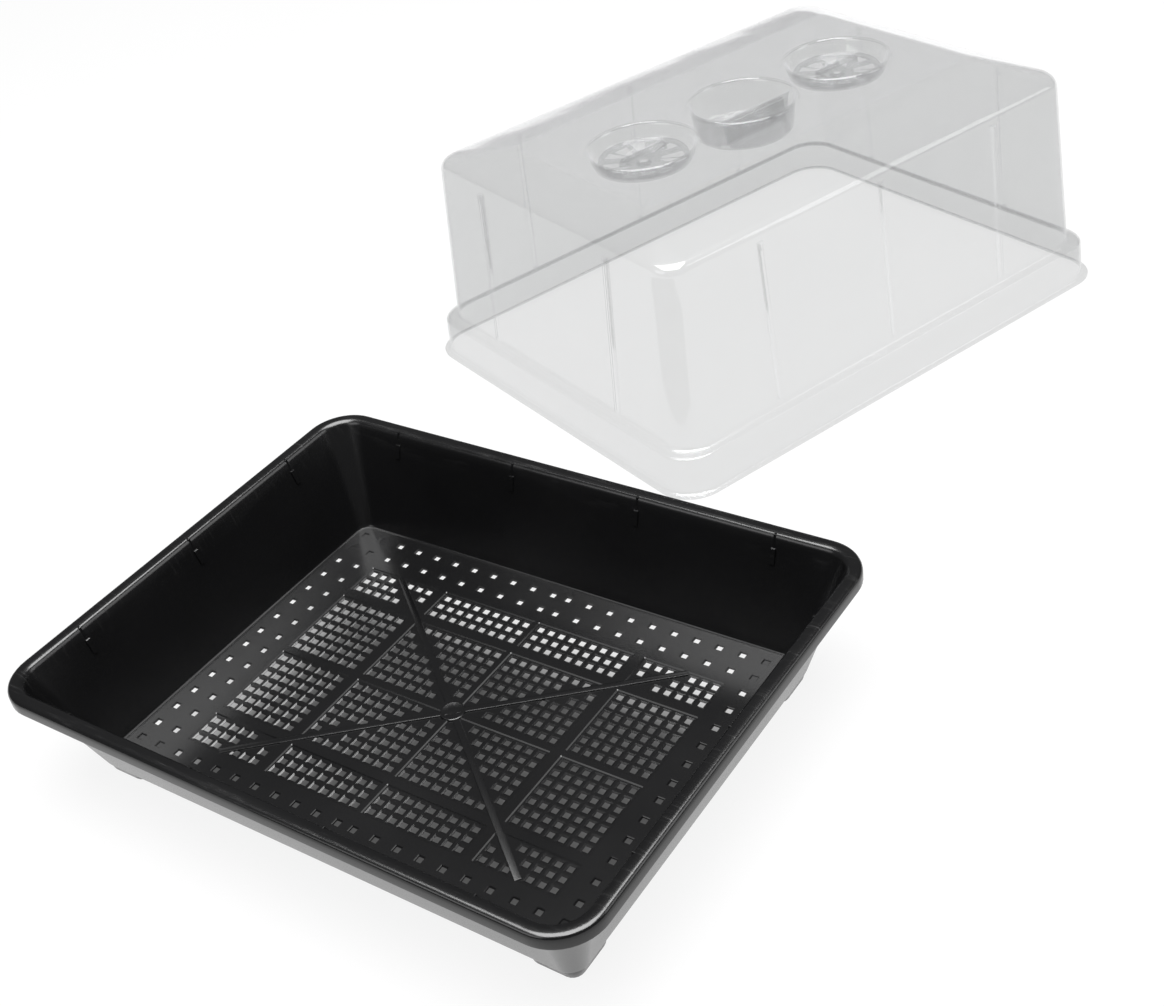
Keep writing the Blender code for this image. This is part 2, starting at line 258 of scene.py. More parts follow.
def clearSheet(name, solid, roughness, waveHeight):
    # thin clear sheet: most light goes straight through, edges and folds gleam
    material, wire, place = newMaterial(name)
    waves = wire.noise(wire.stretched(place, (1.0, 1.0, 0.6)), 9.0, 2.0, 0.5)
    haze = wire.noise(place, 26.0, 5.0, 0.6)
    scratches = wire.ramp(
        wire.noise(wire.stretched(place, (24.0, 700.0, 90.0), 0.8), 1.0, 3.0, 0.7), ((0.60, 0.0), (0.72, 1.0))
    )
    bump = wire.add(
        "ShaderNodeBump", None, {"Strength": 1.0, "Distance": waveHeight, "Height": waves + haze * 0.04}
    )
    grazing = wire.add("ShaderNodeLayerWeight", None, {"Blend": 0.5, "Normal": bump}, 1)
    grazing = grazing ** domeFinish["edgePower"]
    height = wire.add("ShaderNodeSeparateXYZ", None, {0: place}, 2)
    onPlateau = wire.ramp((height - domeFinish["plateauFrom"]) * 100.0, ((0.70, 0.0), (0.80, 1.0)))
    gloss = wire.add(
        "ShaderNodeBsdfPrincipled",
        None,
        {
            "Base Color": wire.blend(haze, domeFinish["gloss"], domeFinish["glossHigh"]),
            "Roughness": roughness + haze * 0.05 + scratches * 0.12,
            "Metallic": domeFinish["metallic"],
            "Normal": bump,
        },
    )
    through = wire.add("ShaderNodeBsdfTransparent", None, {"Color": domeFinish["passes"]})
    share = grazing * domeFinish["gleam"] + (solid + haze * 0.02 + scratches * 0.02 + onPlateau * 0.006)
    both = wire.add("ShaderNodeMixShader", None, {0: share, 1: through, 2: gloss})
    wire.add("ShaderNodeOutputMaterial", None, {"Surface": both})
    return material


# How far from the tray's middle the painted shade under the tray fades into the floor's full glow, and where
# painted light brightens the far and left rows under it, in metres
paintedShadeAndLightBounds = {
    "paintedShadeSides": (0.145, 0.15875),
    "paintedShadeEnds": (0.1025, 0.11375),
    "paintedLightFarRows": (0.045, 0.090),
    "paintedLightLeftRows": (0.11, 0.15),
    "paintedLightLeftRowsLevel": 0.8,
}


# the share of the floor's glow across one edge of the painted shade and painted light under the tray
def paintedShadeAndLightFade(wire, distance, name, most=1.0):
    start, full = paintedShadeAndLightBounds[name]
    return wire.ramp(distance * 2.0 + 0.5, ((start * 2.0 + 0.5, 0.0), (full * 2.0 + 0.5, most)))


def floorPaper():
    # painted shade: the floor's glow is dimmed under the tray, with painted light brightening it again under
    # the tray's far and left rows; the tray never moves, so this is kept in the material
    material, wire, place = newMaterial("pale studio floor")
    tone = wire.blend(wire.noise(place, 1.3, 2.0), studio["floorColour"], studio["floorColourLow"])
    fromTray = wire.add("ShaderNodeMapping", {"vector_type": "POINT"}, {0: place, 1: tuple(-trayPlace)})
    across = wire.add("ShaderNodeSeparateXYZ", None, {0: fromTray}, 0)
    along = wire.add("ShaderNodeSeparateXYZ", None, {0: fromTray}, 1)
    paintedLitShare = paintedShadeAndLightFade(wire, wire.maths("ABSOLUTE", across), "paintedShadeSides")
    for mask in (
        paintedShadeAndLightFade(wire, wire.maths("ABSOLUTE", along), "paintedShadeEnds"),
        paintedShadeAndLightFade(wire, along, "paintedLightFarRows"),
        paintedShadeAndLightFade(wire, 0.0 - across, "paintedLightLeftRows", paintedShadeAndLightBounds["paintedLightLeftRowsLevel"]),
    ):
        paintedLitShare = wire.maths("MAXIMUM", paintedLitShare, mask)
    paper = wire.add("ShaderNodeBsdfPrincipled", None, {
        "Base Color": tone,
        "Roughness": 0.9,
        "Specular IOR Level": 0.0,
        # painted shade under the tray and painted light at its far and left rows, carried by the floor's glow
        "Emission Color": wire.blend(paintedLitShare, studio["paintedShadeUnderTray"], studio["floorGlow"]),
        "Emission Strength": 1.0,
    })
    wire.add("ShaderNodeOutputMaterial", None, {"Surface": paper})
    return material


def studioSky():
    # a dim sky with a bright ceiling lights the piece, and the camera sees a pale backdrop
    world = bpy.data.worlds.new("studio sky")
    bpy.context.scene.world = world
    world.use_nodes = True
    world.node_tree.nodes.clear()
    wire = Wire(world.node_tree)
    outward = wire.add("ShaderNodeTexCoord", None, None, "Generated")
    height = wire.add("ShaderNodeSeparateXYZ", None, {0: outward}, 2)
    rise = wire.ramp(height, ((0.0, 0.0), (0.78, 0.05), (0.92, 1.0)))
    sky = wire.add("ShaderNodeBackground", None, {
        "Color": wire.blend(rise, studio["skyLow"], studio["skyHigh"]),
        "Strength": studio["skyStrength"],
    })
    seen = wire.add("ShaderNodeBackground", None, {"Color": studio["backdrop"], "Strength": 1.0})
    direct = wire.add("ShaderNodeLightPath", None, None, "Is Camera Ray")
    wire.add("ShaderNodeOutputWorld", None, {
        "Surface": wire.add("ShaderNodeMixShader", None, {0: direct, 1: sky, 2: seen})
    })


studioSky()
print("camera, lights and sky set")


# Modelling by hand, in code


def nothingSelected():
    if bpy.context.object and bpy.context.object.mode != "OBJECT":
        bpy.ops.object.mode_set(mode="OBJECT")
    bpy.ops.object.select_all(action="DESELECT")


def makeActive(thing):
    nothingSelected()
    thing.select_set(True)
    bpy.context.view_layer.objects.active = thing


def startPiece(name, adder, scale=(1.0, 1.0, 1.0), **settings):
    nothingSelected()
    adder(**settings)
    made = bpy.context.object
    made.name = made.data.name = name
    made.scale = scale
    bpy.ops.object.transform_apply(location=True, rotation=True, scale=True)
    return made


def edit(thing):
    makeActive(thing)
    bpy.ops.object.mode_set(mode="EDIT")


def pick(kind, test):
    # selects the vertices, edges or faces for which the test holds
    bpy.ops.mesh.select_mode(type=kind)
    bpy.ops.mesh.select_all(action="DESELECT")
    mesh = bpy.context.object.data
    shape = bmesh.from_edit_mesh(mesh)
    items = {"VERT": shape.verts, "EDGE": shape.edges, "FACE": shape.faces}[kind]
    found = [item for item in items if test(item)]
    for item in found:
        item.select_set(True)
    bmesh.update_edit_mesh(mesh)
    return len(found)


def byMiddle(test):
    # the same test, made on the middle of a face
    return lambda face: test(face.calc_center_median())


def middle(edge):
    return (edge.verts[0].co + edge.verts[1].co) / 2


def level(edge, height, slack=0.00002):
    return all(abs(vertex.co.z - height) < slack for vertex in edge.verts)


def mergeDoubles(distance=0.00001):
    bpy.ops.mesh.select_mode(type="VERT")
    bpy.ops.mesh.select_all(action="SELECT")
    bpy.ops.mesh.remove_doubles(threshold=distance)


def faceOutward():
    bpy.ops.mesh.select_all(action="SELECT")
    bpy.ops.mesh.normals_make_consistent(inside=False)


def joinInto(thing, others):
    makeActive(thing)
    for other in others:
        other.select_set(True)
    bpy.ops.object.join()


def applyModifier(thing, kind, **settings):
    makeActive(thing)
    step = thing.modifiers.new(kind.lower(), kind)
    for name, value in settings.items():
        setattr(step, name, value)
    bpy.ops.object.modifier_apply(modifier=step.name)


def combine(thing, tool, operation):
    applyModifier(thing, "BOOLEAN", object=tool, operation=operation, solver="EXACT")
    bpy.data.objects.remove(tool, do_unlink=True)


def ringPlace(point, old, new):
    # the same place on another rounded rectangle: each is (length x, width y, height, corner radius)
    oldX, oldY = old[0] / 2 - old[3], old[1] / 2 - old[3]
    newX, newY = new[0] / 2 - new[3], new[1] / 2 - new[3]
    flat = Vector((max(-oldX, min(oldX, point.x)), max(-oldY, min(oldY, point.y))))
    outward = (point.xy - flat).normalized()
    x = flat.x / oldX * newX + outward.x * new[3]
    y = flat.y / oldY * newY + outward.y * new[3]
    return Vector((x, y, new[2]))


def easeCorners(points, steps=4):
    # rounds each profile corner whose fifth number says over what length
    rings = []
    for number, point in enumerate(points):
        here = Vector(point[:4])
        if len(point) < 5:
            rings.append(here)
            continue
        before, after = Vector(points[number - 1][:4]), Vector(points[number + 1][:4])
        start, end = (
            here.lerp(other, min(point[4] / math.hypot((other[0] - here[0]) / 2, other[2] - here[2]), 0.5))
            for other in (before, after)
        )
        for step in range(steps + 1):
            share = step / steps
            rings.append(start.lerp(here, share).lerp(here.lerp(end, share), share))
    return rings


def loftRings(name, rings, cornerSteps):
    # an open sheet drawn out from a rounded plane, ring by ring; it stays in edit mode
    first = rings[0]
    made = startPiece(
        name, bpy.ops.mesh.primitive_plane_add, (first[0], first[1], 1.0), size=1.0,
        location=(0.0, 0.0, first[2]),
    )
    edit(made)
    bpy.ops.mesh.select_mode(type="VERT")
    bpy.ops.mesh.select_all(action="SELECT")
    bpy.ops.mesh.bevel(
        offset_type="OFFSET", offset=first[3], segments=cornerSteps, profile=0.5, affect="VERTICES"
    )
    bpy.ops.mesh.select_all(action="SELECT")
    bpy.ops.mesh.delete(type="ONLY_FACE")
    pick("EDGE", lambda edge: True)
    for old, new in zip(rings, rings[1:]):
        bpy.ops.mesh.extrude_region()
        shape = bmesh.from_edit_mesh(made.data)
        for vertex in shape.verts:
            if vertex.select:
                vertex.co = ringPlace(vertex.co, old, new)
        bmesh.update_edit_mesh(made.data)
    return made


def turnDown(centre, profile):
    # draws the selected circle out along a (radius, height) profile, about an upright axis
    radius, height = profile[0]
    for newRadius, newHeight in profile[1:]:
        bpy.ops.mesh.extrude_region()
        around = (centre[0], centre[1], height)
        scale = newRadius / radius
        bpy.ops.transform.resize(value=(scale, scale, 1.0), center_override=around)
        bpy.ops.transform.translate(value=(0.0, 0.0, newHeight - height))
        radius, height = newRadius, newHeight


def addBlock(name, size, place, bevel=0.0, steps=2, topScale=(1.0, 1.0), topShift=(0.0, 0.0)):
    # a block whose top can be narrowed or moved, with rounded edges
    made = startPiece(name, bpy.ops.mesh.primitive_cube_add, size, size=1.0, location=place)
    edit(made)
    pick("FACE", lambda face: face.normal.z > 0.9)
    top = (place[0], place[1], place[2] + size[2] / 2)
    bpy.ops.transform.resize(value=(topScale[0], topScale[1], 1.0), center_override=top)
    bpy.ops.transform.translate(value=(topShift[0], topShift[1], 0.0))
    if bevel:
        bpy.ops.mesh.select_all(action="SELECT")
        bpy.ops.mesh.bevel(offset=bevel, segments=steps, profile=0.5, affect="EDGES")
    bpy.ops.object.mode_set(mode="OBJECT")
    return made


def finishShading(thing, angle):
    makeActive(thing)
    bpy.ops.object.shade_smooth_by_angle(angle=math.radians(angle))


# Tray

# Lengths in metres, but what counts holes is in pitches of the fine mesh
tray = {
    "pitch": 0.0074,
    "plateHalf": (0.1597, 0.1138),
    "centreHalf": (17.7, 11.75),  # pitches, as are the next nine
    "recessHalf": 0.385,
    "holeHalf": 0.245,
    "fineColumns": ((0.75, 9), (10.8, 7)),  # first place and number of each run, on both sides
    "fineRows": ((0.85, 7), (8.8, 3)),
    "drainStep": 2.03,
    "drainRows": ((12.85, 1), (14.75, 1)),
    "fieldColumns": ((4.75, 9), (13.8, 7)),  # middle and number of holes of each mesh field
    "fieldRows": ((3.85, 7), (9.8, 3)),
    "diagonalReach": 18.1,
    "countersink": 0.0006,
    "drainHalf": 0.00235,
    "drainChamfer": 0.0004,
    "fieldDepth": 0.0006,
    "fieldSlope": 0.0006,
    "floorTop": 0.0070,
    "floorUnder": 0.0056,
    "diagonalWidth": 0.0042,
    "diagonalSize": (0.0012, 0.0066),  # height of the rib, and of its middle
    "hub": (0.0075, 0.0023, 0.00645),  # radius, height, and height of its middle
    "foot": (0.032, 0.0063),  # side and height
    "footPlace": (0.1475, 0.1025),
    "lean": 0.3305,  # how far the wall goes out for its height
    "lugs": ((0.0570, 0.0660, 0.0030, 0.0016), (0.0640, 0.0737, 0.0014, 0.0008)),  # low, high, width, proud
    "lugsAlong": (-0.1350, -0.0450, 0.0450, 0.1350),
    "lugsAcross": (-0.0880, 0.0, 0.0880),
    "cornerSteps": 12,
}
pitch = tray["pitch"]


def onBothSides(runs, spacing=1.0):
    return [
        sign * (start + spacing * step) for start, count in runs for step in range(count) for sign in (-1, 1)
    ]


fineColumns = onBothSides(tray["fineColumns"])
fineRows = onBothSides(tray["fineRows"])
drainColumns = onBothSides(((0.75, 11),), tray["drainStep"])
drainRows = onBothSides(tray["drainRows"])
sideDrainRows = onBothSides(((0.9, 6),), tray["drainStep"])
sideDrainColumns = [column for column in drainColumns if abs(column) > tray["centreHalf"][0] + 0.3]
fields = [
    (sign * across, turn * along, acrossCount, alongCount)
    for across, acrossCount in tray["fieldColumns"]
    for along, alongCount in tray["fieldRows"]
    for sign in (-1, 1)
    for turn in (-1, 1)
]
diagonalTurn = math.atan2(7.4, 9.3)


def underDiagonal(x, y):
    # no fine hole is cut where a diagonal rib runs
    return abs(abs(x) * math.sin(diagonalTurn) - abs(y) * math.cos(diagonalTurn)) < 0.47


def cutFaces(test, places, axis):
    # cuts the faces for which the test holds by planes across X, Y or Z, one after another
    normal = [0.0, 0.0, 0.0]
    normal[axis] = 1.0
    for place in sorted({round(place, 7) for place in places}):
        pick("FACE", test)
        bpy.ops.mesh.bisect(
            plane_co=tuple(place * value for value in normal), plane_no=normal, threshold=0.000001
        )


def cutRegion(inside, columns, rows):
    for places, axis in ((columns, 0), (rows, 1)):
        cutFaces(byMiddle(inside), places, axis)


def near(value, places, slack=0.08):
    return min(abs(value - place) for place in places) < slack


def isFineHole(centre):
    x, y = centre.x / pitch, centre.y / pitch
    return near(x, fineColumns) and near(y, fineRows) and not underDiagonal(x, y)


def isDrain(centre):
    x, y = centre.x / pitch, centre.y / pitch
    inEnds = near(x, drainColumns) and near(y, drainRows)
    return inEnds or (near(x, sideDrainColumns) and near(y, sideDrainRows))


def inCentre(centre):
    return abs(centre.x) < tray["centreHalf"][0] * pitch and abs(centre.y) < tray["centreHalf"][1] * pitch


def inEndStrips(centre):
    return abs(centre.y) > tray["centreHalf"][1] * pitch


def inSideStrips(centre):
    return not inCentre(centre) and not inEndStrips(centre)


def bothEdges(places, half):
    return [place + side * half for place in places for side in (-1, 1)]


def floorPlate(name, height, fineHalf, drainHalf, fieldEdges):
    # a flat plate cut along every hole's edges, centre and strips each by themselves
    sizes = [2 * half for half in tray["plateHalf"]]
    made = startPiece(
        name, bpy.ops.mesh.primitive_plane_add, (*sizes, 1.0), size=1.0, location=(0.0, 0.0, height)
    )
    edit(made)
    cutFaces(lambda face: True, [side * tray["centreHalf"][1] * pitch for side in (-1, 1)], 1)
    cutFaces(
        byMiddle(lambda centre: not inEndStrips(centre)),
        [side * tray["centreHalf"][0] * pitch for side in (-1, 1)],
        0,
    )
    centreColumns = bothEdges([column * pitch for column in fineColumns], fineHalf)
    centreRows = bothEdges([row * pitch for row in fineRows], fineHalf)
    if fieldEdges:
        for across, along, acrossCount, alongCount in fields:
            for margin in (0.0, tray["fieldSlope"]):
                centreColumns += bothEdges([across * pitch], acrossCount * pitch / 2 + margin)
                centreRows += bothEdges([along * pitch], alongCount * pitch / 2 + margin)
    cutRegion(inCentre, centreColumns, centreRows)
    cutRegion(
        inEndStrips,
        bothEdges([column * pitch for column in drainColumns], drainHalf),
        bothEdges([row * pitch for row in drainRows], drainHalf),
    )
    cutRegion(
        inSideStrips,
        bothEdges([column * pitch for column in sideDrainColumns], drainHalf),
        bothEdges([row * pitch for row in sideDrainRows], drainHalf),
    )
    return made


def buildFloor():
    fineTop = tray["recessHalf"] * pitch
    fineUnder = tray["holeHalf"] * pitch
    drainUnder = tray["drainHalf"] - tray["drainChamfer"]
    top = floorPlate("tray floor top", tray["floorTop"], fineTop, tray["drainHalf"], True)

    def inField(vertex):
        return any(
            abs(vertex.co.x - across * pitch) < acrossCount * pitch / 2 + 0.0001
            and abs(vertex.co.y - along * pitch) < alongCount * pitch / 2 + 0.0001
            for across, along, acrossCount, alongCount in fields
        )

    pick("VERT", inField)
    bpy.ops.transform.translate(value=(0.0, 0.0, -tray["fieldDepth"]))
    fine = pick("FACE", byMiddle(lambda centre: isFineHole(centre) and inCentre(centre)))
    bpy.ops.mesh.inset(thickness=fineTop - fineUnder, depth=-tray["countersink"], use_individual=True)
    bpy.ops.mesh.delete(type="FACE")
    drains = pick("FACE", byMiddle(lambda centre: isDrain(centre) and not inCentre(centre)))
    bpy.ops.mesh.inset(thickness=tray["drainChamfer"], depth=-tray["drainChamfer"], use_individual=True)
    bpy.ops.mesh.delete(type="FACE")
    for height in (
        tray["floorTop"] - tray["fieldDepth"] - tray["countersink"],
        tray["floorTop"] - tray["drainChamfer"],
    ):
        pick("EDGE", lambda edge: edge.is_boundary and level(edge, height))
        bpy.ops.mesh.extrude_region()
        bpy.ops.transform.translate(value=(0.0, 0.0, tray["floorUnder"] - height))
    bpy.ops.object.mode_set(mode="OBJECT")

    under = floorPlate("tray floor under", tray["floorUnder"], fineUnder, drainUnder, False)
    pick("FACE", byMiddle(lambda centre: isFineHole(centre) if inCentre(centre) else isDrain(centre)))
    bpy.ops.mesh.delete(type="FACE")
    bpy.ops.object.mode_set(mode="OBJECT")
    print("tray floor cut:", fine, "fine holes,", drains, "drain holes")
    return top, under


def buildTray():
    # (length x, width y, height, corner radius, rounding) up the inside, over the rim and down the outside
    profile = [
        (0.3225, 0.2325, 0.0070, 0.0040),
        (0.3268, 0.2368, 0.0070, 0.0085, 0.0026),
        (0.3710, 0.2810, 0.0740, 0.0180, 0.0033),
        (0.3880, 0.2980, 0.0740, 0.0270, 0.0032),
        (0.3880, 0.2980, 0.0660, 0.0270, 0.0005),
        (0.3848, 0.2948, 0.0660, 0.0254, 0.0005),
        (0.3848, 0.2948, 0.0721, 0.0254, 0.0006),
        (0.3738, 0.2838, 0.0721, 0.0194, 0.0012),
        (0.3288, 0.2388, 0.0056, 0.0104, 0.0026),
        (0.3225, 0.2325, 0.0056, 0.0040),
    ]
    made = loftRings("seed_tray_moulding", easeCorners(profile, 5), tray["cornerSteps"])
    bpy.ops.object.mode_set(mode="OBJECT")
    joinInto(made, buildFloor())
    edit(made)
    mergeDoubles()
    for height in (tray["floorTop"], tray["floorUnder"]):
        pick("EDGE", lambda edge: edge.is_boundary and level(edge, height))
        bpy.ops.mesh.fill(use_beauty=True)
    faceOutward()
    bpy.ops.object.mode_set(mode="OBJECT")
    print("tray shell closed:", len(made.data.polygons), "faces")
    addTrayDetails(made)
    return made


def diagonalRibs():
    bars = []
    height, middleHeight = tray["diagonalSize"]
    for turn in (-diagonalTurn, diagonalTurn):
        size = (2 * tray["diagonalReach"] * pitch, tray["diagonalWidth"], height)
        bar = addBlock("tray diagonal", size, (0.0, 0.0, middleHeight), 0.0005, 3)
        bar.rotation_euler.z = turn
        makeActive(bar)
        bpy.ops.object.transform_apply(location=True, rotation=True, scale=True)
        bars.append(bar)
    return bars


def floorHub():
    # a low round boss with a dished top
    radius, depth, middleHeight = tray["hub"]
    hub = startPiece(
        "tray hub", bpy.ops.mesh.primitive_cylinder_add, vertices=48, radius=radius, depth=depth,
        location=(0.0, 0.0, middleHeight),
    )
    edit(hub)
    pick("EDGE", lambda edge: level(edge, middleHeight + depth / 2))
    bpy.ops.mesh.bevel(offset=0.0008, segments=4, profile=0.5, affect="EDGES")
    pick("FACE", lambda face: face.normal.z > 0.99)
    bpy.ops.mesh.inset(thickness=0.0022, depth=-0.0005)
    bpy.ops.object.mode_set(mode="OBJECT")
    return hub


def cornerFoot(x, y):
    side, height = tray["foot"]
    foot = startPiece(
        "tray foot", bpy.ops.mesh.primitive_cube_add, (side, side, height), size=1.0,
        location=(x, y, height / 2),
    )
    edit(foot)
    pick("EDGE", lambda edge: abs(edge.verts[0].co.z - edge.verts[1].co.z) > 0.001)
    bpy.ops.mesh.bevel(offset=0.007, segments=5, profile=0.5, affect="EDGES")
    pick("FACE", lambda face: face.normal.z < -0.9)
    bpy.ops.transform.resize(value=(0.91, 0.91, 1.0), center_override=(x, y, 0.0))
    bpy.ops.mesh.bevel(offset=0.0008, segments=2, profile=0.5, affect="EDGES")
    bpy.ops.object.mode_set(mode="OBJECT")
    return foot


def stackingLug(onEnd, side, place, half, shape):
    # one upright rib on the inside of a wall, leaning out with it
    low, high, width, proud = shape
    across = side * (half + (low - tray["floorTop"]) * tray["lean"] + 0.0012 - proud / 2)
    shift = side * (high - low) * tray["lean"]
    if onEnd:
        size, spot, topShift = (proud + 0.0014, width), (across, place), (shift, 0.0)
    else:
        size, spot, topShift = (width, proud + 0.0014), (place, across), (0.0, shift)
    return addBlock(
        "tray lug", (*size, high - low), (*spot, (low + high) / 2), 0.0002, 1, topShift=topShift
    )


def addTrayDetails(made):
    # diagonal floor ribs, hub, feet and the stacking lugs inside the wall
    tools = diagonalRibs() + [floorHub()]
    tools += [
        cornerFoot(signX * tray["footPlace"][0], signY * tray["footPlace"][1])
        for signX in (-1, 1)
        for signY in (-1, 1)
    ]
    tools += [
        stackingLug(onEnd, side, place, half, shape)
        for onEnd, half, places in ((False, 0.1184, tray["lugsAlong"]), (True, 0.1634, tray["lugsAcross"]))
        for side in (-1, 1)
        for place in places
        for shape in tray["lugs"]
    ]
    for tool in tools:
        combine(made, tool, "UNION")


seedTray = buildTray()
seedTray.data.materials.clear()
seedTray.data.materials.append(trayPlastic())
seedTray.location = trayPlace
makeActive(seedTray)
bpy.ops.object.transform_apply(location=True, rotation=True, scale=True)
finishShading(seedTray, 22)
print("tray done:", len(seedTray.data.polygons), "faces")

# Dome

dome = {
    "longer": 0.090,
    "sheet": 0.0011,
    "top": 0.1680,
    "ribWidth": 0.0054,
    "ribProud": 0.0011,
    "ribSide": 0.0009,
    "ribLow": 0.0325,
    "ribHigh": 0.1465,
    "nub": 0.0050,
    "longRibs": (-0.105, 0.0, 0.105),
    "shortRibs": (-0.072, 0.072),
    "wallLow": 0.034,  # faces between these two heights are wall
    "wallHigh": 0.1458,
    "ventFloor": 0.158,
    "ventFloorRadius": 0.0338,
    "gripFloor": 0.147,
    "gripFloorRadius": 0.0335,
    "pinHole": 0.0040,
    "webOffset": 0.013,
    "webTop": 0.1662,
    "cornerSteps": 12,
    "wellSides": 72,
}


def domeRing(width, height, radius, *ease):
    return (width, width + dome["longer"], height, radius, *ease)


def pressRib(onLongSide, side, place):
    # a rib pressed out of one wall, with sloping sides and a small nub at its top
    outward = Vector((side, 0.0, 0.0)) if onLongSide else Vector((0.0, side, 0.0))
    along = 1 if onLongSide else 0

    def onWall(face, margin):
        centre = face.calc_center_median()
        return (
            face.normal.dot(outward) > 0.9
            and dome["wallLow"] < centre.z < dome["wallHigh"]
            and abs(centre[along] - place) < margin
        )

    half = dome["ribWidth"] / 2
    cutFaces(lambda face: onWall(face, 1.0), [place - half, place + half], along)
    cutFaces(lambda face: onWall(face, half), [dome["ribLow"], dome["ribHigh"]], 2)
    pick("FACE", lambda face: (
        onWall(face, half) and dome["ribLow"] < face.calc_center_median().z < dome["ribHigh"]
    ))
    bpy.ops.mesh.inset(thickness=dome["ribSide"], depth=dome["ribProud"])
    split = dome["ribHigh"] - dome["ribSide"] - dome["nub"]
    cutFaces(lambda face: onWall(face, 0.0005), [split], 2)
    pick("FACE", lambda face: (
        onWall(face, 0.0005) and split < face.calc_center_median().z < split + dome["nub"]
    ))
    bpy.ops.mesh.inset(thickness=0.0005, depth=0.0007)


# A vent slot, in the well and in the disc over it: its ends' distance from the middle, and half widths
ventSlot = {"inner": 0.012, "outer": 0.028, "innerHalf": 0.0025, "outerHalf": 0.006, "rounding": 0.0012}


def addWedge(centre, height, turn):
    # the rounded outline of one vent slot, wider away from the middle
    bpy.ops.mesh.select_all(action="DESELECT")
    between = centre[0] + (ventSlot["inner"] + ventSlot["outer"]) / 2
    bpy.ops.mesh.primitive_plane_add(size=1.0, location=(between, centre[1], height))
    shape = bmesh.from_edit_mesh(bpy.context.object.data)
    for vertex in shape.verts:
        if vertex.select:
            end = "outer" if vertex.co.x > between else "inner"
            vertex.co.x = centre[0] + ventSlot[end]
            vertex.co.y = centre[1] + math.copysign(ventSlot[end + "Half"], vertex.co.y - centre[1])
    bmesh.update_edit_mesh(bpy.context.object.data)
    bpy.ops.mesh.bevel(
        offset_type="OFFSET", offset=ventSlot["rounding"], segments=4, profile=0.5, affect="VERTICES"
    )
    bpy.ops.transform.rotate(value=turn, orient_axis="Z", center_override=(centre[0], centre[1], height))


def addWell(centre, floor, floorRadius):
    # a beaded mouth and a sloping round wall, down to the edge of the well's floor
    top = dome["top"]
    bpy.ops.mesh.select_mode(type="VERT")
    bpy.ops.mesh.select_all(action="DESELECT")
    bpy.ops.mesh.primitive_circle_add(
        vertices=dome["wellSides"], radius=0.0402, fill_type="NOTHING", location=(*centre, top)
    )
    turnDown(centre, [
        (0.0402, top),
        (0.0399, top + 0.0007),
        (0.0392, top + 0.0013),
        (0.0382, top + 0.0016),
        (0.0373, top + 0.0013),
        (0.0366, top + 0.0005),
        (0.0361, top - 0.0010),
        (floorRadius + 0.0004, floor + 0.0022),
        (floorRadius - 0.0001, floor + 0.0011),
        (floorRadius - 0.0006, floor + 0.0004),
        (floorRadius - 0.0016, floor),
    ])


def faceOutOfDome(made):
    # an open shell can come out turned round, and then all of it is flipped
    faceOutward()
    shape = bmesh.from_edit_mesh(made.data)
    if sum(face.normal.z * face.calc_area() for face in shape.faces) < 0:
        bpy.ops.mesh.select_all(action="SELECT")
        bpy.ops.mesh.flip_normals()


def buildDome():
    # (length x, width y, height, corner radius, rounding) from the plateau out to the lip
    profile = [
        (0.1500, 0.2890, 0.1680, 0.0045),
        (0.1540, 0.2930, 0.1680, 0.0060, 0.0014),
        domeRing(0.2697, 0.1549, 0.0176, 0.0068),
        domeRing(0.2875, 0.0280, 0.0222, 0.0024),
        domeRing(0.3022, 0.0280, 0.0244, 0.0020),
        domeRing(0.3050, 0.0016, 0.0252, 0.0026),
        domeRing(0.3118, 0.0013, 0.0260),
    ]
    made = loftRings("dome_clear_sheet", easeCorners(profile, 6), dome["cornerSteps"])
    faceOutOfDome(made)
    for side in (-1, 1):
        for place in dome["longRibs"]:
            pressRib(True, side, place)
        for place in dome["shortRibs"]:
            pressRib(False, side, place)
    print("dome wall and ribs pressed")

    for step in (-1, 0, 1):
        centre = (0.0, step * wellPitch)
        kind = "vent" if step else "grip"
        floor, floorRadius = dome[kind + "Floor"], dome[kind + "FloorRadius"]
        addWell(centre, floor, floorRadius)
        if step:
            for turn in range(6):
                addWedge(centre, floor, turn * math.pi / 3)
                bpy.ops.mesh.delete(type="ONLY_FACE")
            bpy.ops.mesh.primitive_circle_add(
                vertices=32, radius=dome["pinHole"], fill_type="NOTHING", location=(*centre, floor)
            )
        pick("EDGE", lambda edge: (
            level(edge, floor) and len(edge.link_faces) < 2
            and math.hypot(middle(edge).x, middle(edge).y - centre[1]) < floorRadius
        ))
        bpy.ops.mesh.fill(use_beauty=True)
    pick("EDGE", lambda edge: level(edge, dome["top"]) and len(edge.link_faces) < 2)
    bpy.ops.mesh.fill(use_beauty=True)
    mergeDoubles()
    faceOutOfDome(made)
    bpy.ops.object.mode_set(mode="OBJECT")
    applyModifier(made, "SOLIDIFY", thickness=dome["sheet"], offset=-1.0, use_even_offset=True)
    print("dome sheet thickened:", len(made.data.polygons), "faces")
    addWeb(made)
    return made


